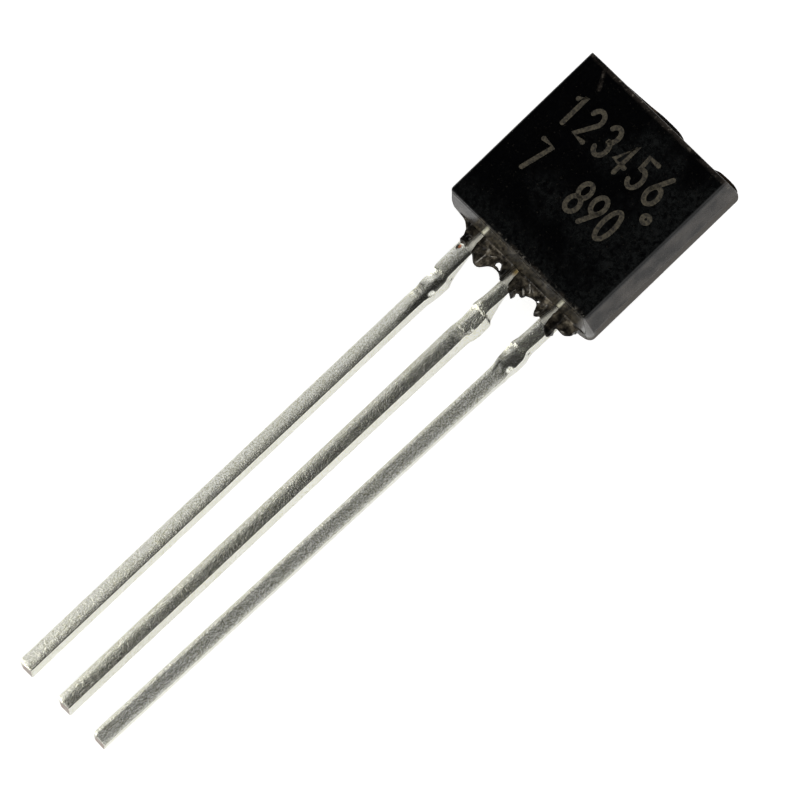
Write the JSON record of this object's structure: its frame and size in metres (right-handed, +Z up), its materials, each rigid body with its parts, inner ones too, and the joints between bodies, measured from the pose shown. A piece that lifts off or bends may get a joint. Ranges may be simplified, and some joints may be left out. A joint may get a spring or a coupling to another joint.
{
  "type": "to-92 transistor",
  "caption": "Small three-lead transistor: D-shaped black epoxy body with one flat side, on long straight tinned leads.",
  "frame": {"origin": "bottom centre of the bounding box, on the surface that the loose part lies on", "axes": "+Y from the lead tips towards the body's head, +X to the collector's side, +Z up; the flat faces up, 9 degrees off level"},
  "size_m": [0.0044, 0.0184, 0.0041],
  "materials": {
    "epoxy_compound": "moulded, satin, with torn flash",
    "tinned_strip": "matte tin plate, bright where it was sheared",
    "silicon": "polished",
    "die_solder": "dull",
    "gold_wire": "drawn"
  },
  "bodies": {
    "root": {"moulded_body": "epoxy_compound", "emitter_lead": "tinned_strip", "base_lead": "tinned_strip", "collector_lead": "tinned_strip", "silicon_die": "silicon", "die_attach": "die_solder", "base_bond_wire": "gold_wire", "emitter_bond_wire": "gold_wire"}
  },
  "joints": []
}
